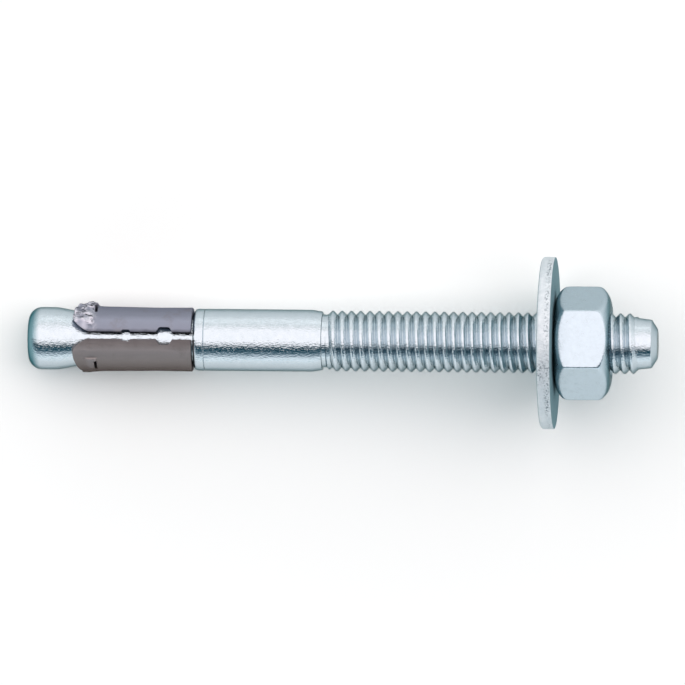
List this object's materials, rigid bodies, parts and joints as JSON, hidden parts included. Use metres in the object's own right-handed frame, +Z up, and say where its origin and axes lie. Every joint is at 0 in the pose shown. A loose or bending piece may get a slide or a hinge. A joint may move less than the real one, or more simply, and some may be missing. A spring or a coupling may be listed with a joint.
{
  "type": "wedge anchor",
  "caption": "Zinc-plated wedge anchor: a stud with an expansion cone and rolled clip at one end, and a large washer and hexagon nut on its thread.",
  "frame": {"origin": "on the surface that the anchor lies on, under the middle of its outline", "axes": "+X towards the nut's end, +Z up from the surface; the stud's axis rises 6.2 degrees towards +X because the washer's rim is wider than the cone"},
  "size_m": [0.1018, 0.0278, 0.0278],
  "materials": {
    "zinc_plated_stud": "bright blue zinc plating on cold-formed steel",
    "bare_sheet_clip": "dull grey-brown coated sheet steel",
    "zinc_plated_washer": "bright blue zinc plating on punched steel",
    "zinc_plated_nut": "bright blue zinc plating on a cold-formed nut"
  },
  "bodies": {
    "stud": {"anchor_stud": "zinc_plated_stud"},
    "clip": {"expansion_clip": "bare_sheet_clip"},
    "washer": {"washer": "zinc_plated_washer"},
    "nut": {"hex_nut": "zinc_plated_nut"}
  },
  "joints": [
    {"name": "clip_turn", "type": "hinge", "parent": "stud", "child": "clip", "pos_m": [-0.03365, 0, 0.00663], "axis": [0.9942, 0, 0.108], "continuous": true},
    {"name": "washer_slide", "type": "slide", "parent": "stud", "child": "washer", "axis": [0.9942, 0, 0.108], "range_m": [-0.036, 0.012]},
    {"name": "nut_turn", "type": "hinge", "parent": "washer", "child": "nut", "pos_m": [0.03863, 0, 0.01448], "axis": [0.9942, 0, 0.108], "range_deg": [-8640, 2880]}
  ],
  "couplings": [
    {"joint": "washer_slide", "follows": "nut_turn", "m_per_rad": 0.00023873}
  ]
}
